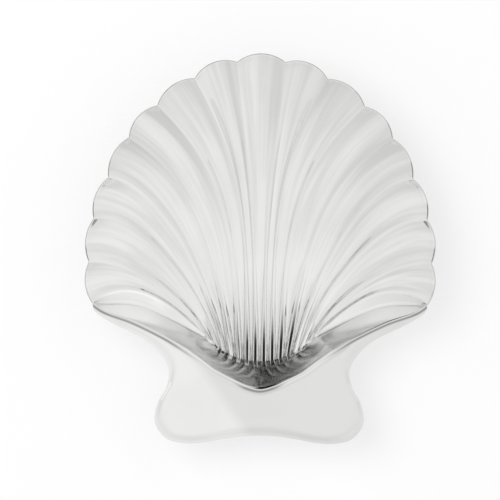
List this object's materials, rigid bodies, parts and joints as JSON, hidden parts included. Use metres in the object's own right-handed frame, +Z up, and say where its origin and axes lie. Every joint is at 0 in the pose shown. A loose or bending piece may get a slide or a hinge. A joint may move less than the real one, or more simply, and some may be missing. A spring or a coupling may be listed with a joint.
{
  "type": "shell trinket dish",
  "caption": "Scallop-shell trinket dish in polished metal, with a fluted bowl, a smooth hinge wall and a flat fishtail tab.",
  "frame": {"origin": "centre of the bounding box in plan, at the flat foot the dish rests on", "axes": "+Z up from the table, +Y from the hinge tab to the middle lobe, +X to the right seen from above with the lobes away"},
  "size_m": [0.1198, 0.1334, 0.0244],
  "materials": {
    "polished_silver": "polished silver plate with faint fine scratches"
  },
  "bodies": {
    "root": {"shell_dish": "polished_silver"}
  },
  "joints": []
}
